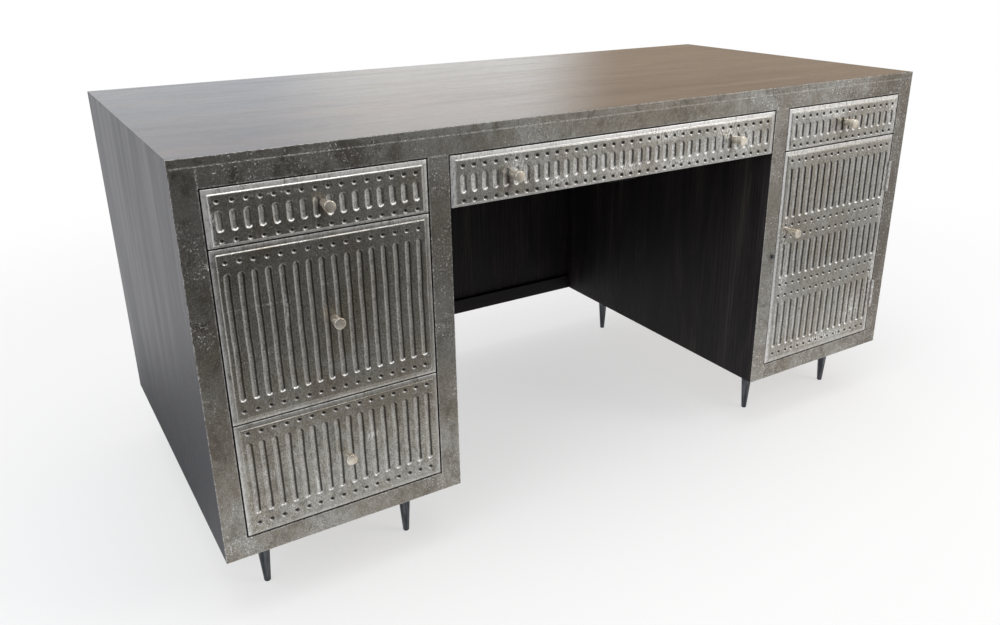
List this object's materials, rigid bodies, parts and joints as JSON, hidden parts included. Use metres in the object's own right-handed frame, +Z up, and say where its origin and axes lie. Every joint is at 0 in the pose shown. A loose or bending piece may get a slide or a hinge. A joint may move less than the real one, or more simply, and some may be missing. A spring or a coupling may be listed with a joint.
{
  "type": "executive desk",
  "caption": "Double-pedestal kneehole desk of dark wood with embossed metal drawer and door fronts, a metal-clad face frame, flared knobs and tapered legs.",
  "frame": {"origin": "on the floor, under the middle of the box round the desk and its knobs", "axes": "+X to the right seen from the front, +Y to the back, +Z up"},
  "size_m": [1.55, 0.75, 0.76],
  "materials": {
    "dark_wood": "satin lacquer over dark stained open grain",
    "inner_wood": "clear matt lacquer",
    "frame_metal": "antiqued grey-brown sheet with rubbed flecks",
    "skin_metal": "embossed antiqued sheet, dark in the recesses, rubbed bright on the edges",
    "knob_metal": "satin nickel",
    "leg_iron": "blue-black satin",
    "hardware": "dull steel"
  },
  "bodies": {
    "carcass": {"top_panel": "dark_wood", "left_end_panel": "dark_wood", "right_end_panel": "dark_wood", "left_inner_panel": "dark_wood", "right_inner_panel": "dark_wood", "left_floor_panel": "inner_wood", "right_floor_panel": "inner_wood", "left_back_panel": "dark_wood", "right_back_panel": "dark_wood", "modesty_panel": "dark_wood", "modesty_rail": "dark_wood", "dust_board": "inner_wood", "face_rails": "inner_wood", "stile_battens": "inner_wood", "stile_sheets": "frame_metal", "rail_sheets": "frame_metal", "top_edge_strip": "frame_metal", "left_legs": "leg_iron", "right_legs": "leg_iron", "drawer_runners": "inner_wood", "hinge_frame_leaves": "hardware", "hinge_pins": "hardware", "door_catch": "hardware", "stile_screw": "hardware"},
    "door": {"door_board": "inner_wood", "door_skin": "skin_metal", "door_knob": "knob_metal", "hinge_door_leaves": "hardware", "catch_plate": "hardware"},
    "left_top_drawer": {"left_top_drawer_skin": "skin_metal", "left_top_drawer_board": "inner_wood", "left_top_drawer_knob": "knob_metal", "left_top_drawer_sides": "inner_wood", "left_top_drawer_back": "inner_wood", "left_top_drawer_bottom": "inner_wood"},
    "left_file_drawer": {"left_file_drawer_skin": "skin_metal", "left_file_drawer_board": "inner_wood", "left_file_drawer_knob": "knob_metal", "left_file_drawer_sides": "inner_wood", "left_file_drawer_back": "inner_wood", "left_file_drawer_bottom": "inner_wood"},
    "left_low_drawer": {"left_low_drawer_skin": "skin_metal", "left_low_drawer_board": "inner_wood", "left_low_drawer_knob": "knob_metal", "left_low_drawer_sides": "inner_wood", "left_low_drawer_back": "inner_wood", "left_low_drawer_bottom": "inner_wood"},
    "pencil_drawer": {"pencil_drawer_skin": "skin_metal", "pencil_drawer_board": "inner_wood", "pencil_drawer_knob": "knob_metal", "pencil_drawer_sides": "inner_wood", "pencil_drawer_back": "inner_wood", "pencil_drawer_bottom": "inner_wood", "pencil_drawer_lip": "dark_wood"},
    "right_drawer": {"right_drawer_skin": "skin_metal", "right_drawer_board": "inner_wood", "right_drawer_knob": "knob_metal", "right_drawer_sides": "inner_wood", "right_drawer_back": "inner_wood", "right_drawer_bottom": "inner_wood"}
  },
  "joints": [
    {"name": "left_top_drawer_slide", "type": "slide", "parent": "carcass", "child": "left_top_drawer", "axis": [0, -1, 0], "range_m": [0, 0.42]},
    {"name": "left_file_drawer_slide", "type": "slide", "parent": "carcass", "child": "left_file_drawer", "axis": [0, -1, 0], "range_m": [0, 0.42]},
    {"name": "left_low_drawer_slide", "type": "slide", "parent": "carcass", "child": "left_low_drawer", "axis": [0, -1, 0], "range_m": [0, 0.42]},
    {"name": "pencil_drawer_slide", "type": "slide", "parent": "carcass", "child": "pencil_drawer", "axis": [0, -1, 0], "range_m": [0, 0.33]},
    {"name": "right_drawer_slide", "type": "slide", "parent": "carcass", "child": "right_drawer", "axis": [0, -1, 0], "range_m": [0, 0.42]},
    {"name": "door_hinge", "type": "hinge", "parent": "carcass", "child": "door", "pos_m": [0.73775, -0.3478, 0.39], "axis": [0, 0, 1], "range_deg": [0, 110]}
  ]
}
